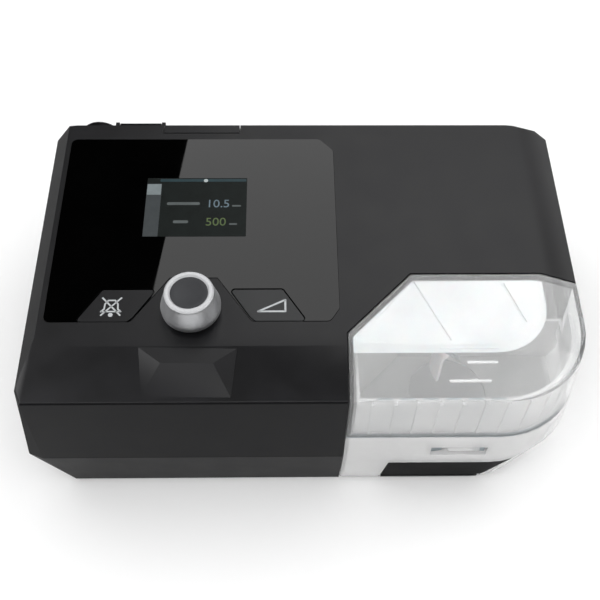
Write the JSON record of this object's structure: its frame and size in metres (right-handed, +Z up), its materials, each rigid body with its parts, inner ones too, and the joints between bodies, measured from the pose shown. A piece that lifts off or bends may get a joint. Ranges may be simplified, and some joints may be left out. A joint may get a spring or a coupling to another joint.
{
  "type": "cpap machine",
  "caption": "Bedside breathing-therapy machine with display, push knob, two buttons, rear air outlet and a clear slide-out humidifier chamber.",
  "frame": {"origin": "under the middle of the bounding box, on the table under the rubber feet", "axes": "+X to the right seen from the front, +Y towards the back with the air outlet, +Z up; the front wall faces -Y"},
  "size_m": [0.276, 0.18, 0.1224],
  "materials": {
    "case_plastic": "fine spark-eroded texture",
    "black_plastic": "moulded, satin",
    "panel_gloss": "polished",
    "button_plastic": "satin",
    "knob_metal": "turned and polished rim",
    "knob_insert": "satin",
    "clear_plastic": "clear moulded, slightly frosted",
    "white_plastic": "milky moulded",
    "seal_rubber": "silicone, matte",
    "dark_rubber": "matte",
    "plate_metal": "brushed",
    "steel": "bright",
    "film": "polyimide film",
    "duct_plastic": "moulded",
    "fan_plastic": "moulded",
    "copper": "lacquered windings",
    "foam": "open-cell foam",
    "filter": "pleated fibre",
    "board": "solder-masked board",
    "display": "display glass",
    "card": "moulded"
  },
  "bodies": {
    "case": {"top_case": "case_plastic", "bottom_case": "case_plastic", "bay_liner": "case_plastic", "chamber_platform": "case_plastic", "dc_pin": "steel", "control_panel": "panel_gloss", "display_module": "display", "display_frame": "white_plastic", "main_board": "board", "board_screws": "steel", "push_switches": "black_plastic", "buzzer": "black_plastic", "encoder_body": "steel", "heater_springs": "steel", "heater_holder": "duct_plastic", "latch_pin": "steel", "latch_spring": "steel", "blower_volute": "duct_plastic", "blower_cover": "duct_plastic", "motor_stator": "copper", "motor_bearings": "steel", "blower_mounts": "dark_rubber", "inlet_muffler": "white_plastic", "muffler_foam": "foam", "air_filter": "filter", "filter_cover_pin": "steel", "blower_duct": "duct_plastic", "port_seals": "seal_rubber", "return_duct": "duct_plastic", "air_outlet": "black_plastic", "sensor_board": "board", "sensing_tube": "seal_rubber", "power_board": "board", "dc_inlet": "black_plastic", "port_cover_pin": "steel", "card_socket": "steel", "rubber_feet": "dark_rubber", "case_screws": "steel"},
    "rotor": {"encoder_rotor": "white_plastic"},
    "knob": {"encoder_shaft": "steel", "knob_body": "knob_metal", "knob_insert": "knob_insert"},
    "mute": {"mute_button": "case_plastic"},
    "ramp": {"ramp_button": "button_plastic"},
    "chamber": {"chamber_tub": "clear_plastic", "chamber_gasket": "seal_rubber", "tub_plate": "plate_metal"},
    "lid": {"chamber_lid": "clear_plastic", "chamber_baffle": "white_plastic"},
    "latch": {"latch_bar": "black_plastic"},
    "heater": {"heater_plate": "plate_metal", "heating_film": "film"},
    "fan": {"impeller": "fan_plastic", "motor_shaft": "steel"},
    "filter_door": {"filter_cover": "case_plastic"},
    "port_door": {"port_cover": "black_plastic"},
    "card": {"memory_card": "card"}
  },
  "joints": [
    {"name": "knob_turn", "type": "hinge", "parent": "case", "child": "rotor", "pos_m": [-0.0536, -0.0458, 0.095], "axis": [0, 0, 1], "continuous": true},
    {"name": "knob_press", "type": "slide", "parent": "rotor", "child": "knob", "axis": [0, 0, -1], "range_m": [0, 0.0008], "stiffness_N_per_m": 1200, "springref_m": -0.002},
    {"name": "mute_press", "type": "slide", "parent": "case", "child": "mute", "axis": [0, 0, -1], "range_m": [0, 0.0006], "stiffness_N_per_m": 500, "springref_m": -0.001},
    {"name": "ramp_press", "type": "slide", "parent": "case", "child": "ramp", "axis": [0, 0, -1], "range_m": [0, 0.0006], "stiffness_N_per_m": 500, "springref_m": -0.001},
    {"name": "chamber_slide", "type": "slide", "parent": "case", "child": "chamber", "axis": [0, -1, 0], "range_m": [0, 0.08]},
    {"name": "lid_lift", "type": "slide", "parent": "chamber", "child": "lid", "axis": [0, 0, 1], "range_m": [0, 0.05]},
    {"name": "latch_press", "type": "hinge", "parent": "case", "child": "latch", "pos_m": [0.076, -0.054, 0.0231], "axis": [1, 0, 0], "range_deg": [0, 1.4], "stiffness_Nm_per_rad": 0.8, "springref_deg": -2.86, "deforming": ["latch_spring"]},
    {"name": "heater_give", "type": "slide", "parent": "case", "child": "heater", "axis": [0, 0, -1], "range_m": [0, 0.0012], "stiffness_N_per_m": 1500, "springref_m": -0.002, "deforming": ["heater_springs"]},
    {"name": "fan_spin", "type": "hinge", "parent": "case", "child": "fan", "pos_m": [-0.062, -0.01, 0.025], "axis": [0, 0, 1], "continuous": true},
    {"name": "filter_cover_swing", "type": "hinge", "parent": "case", "child": "filter_door", "pos_m": [-0.054, 0.07083, 0.025], "axis": [-1, 0, 0], "range_deg": [0, 80]},
    {"name": "port_cover_swing", "type": "hinge", "parent": "case", "child": "port_door", "pos_m": [-0.088, 0.0774, 0.0996], "axis": [1, 0, 0], "range_deg": [0, 75]},
    {"name": "card_slide", "type": "slide", "parent": "case", "child": "card", "axis": [0, 1, 0], "range_m": [0, 0.022]}
  ]
}
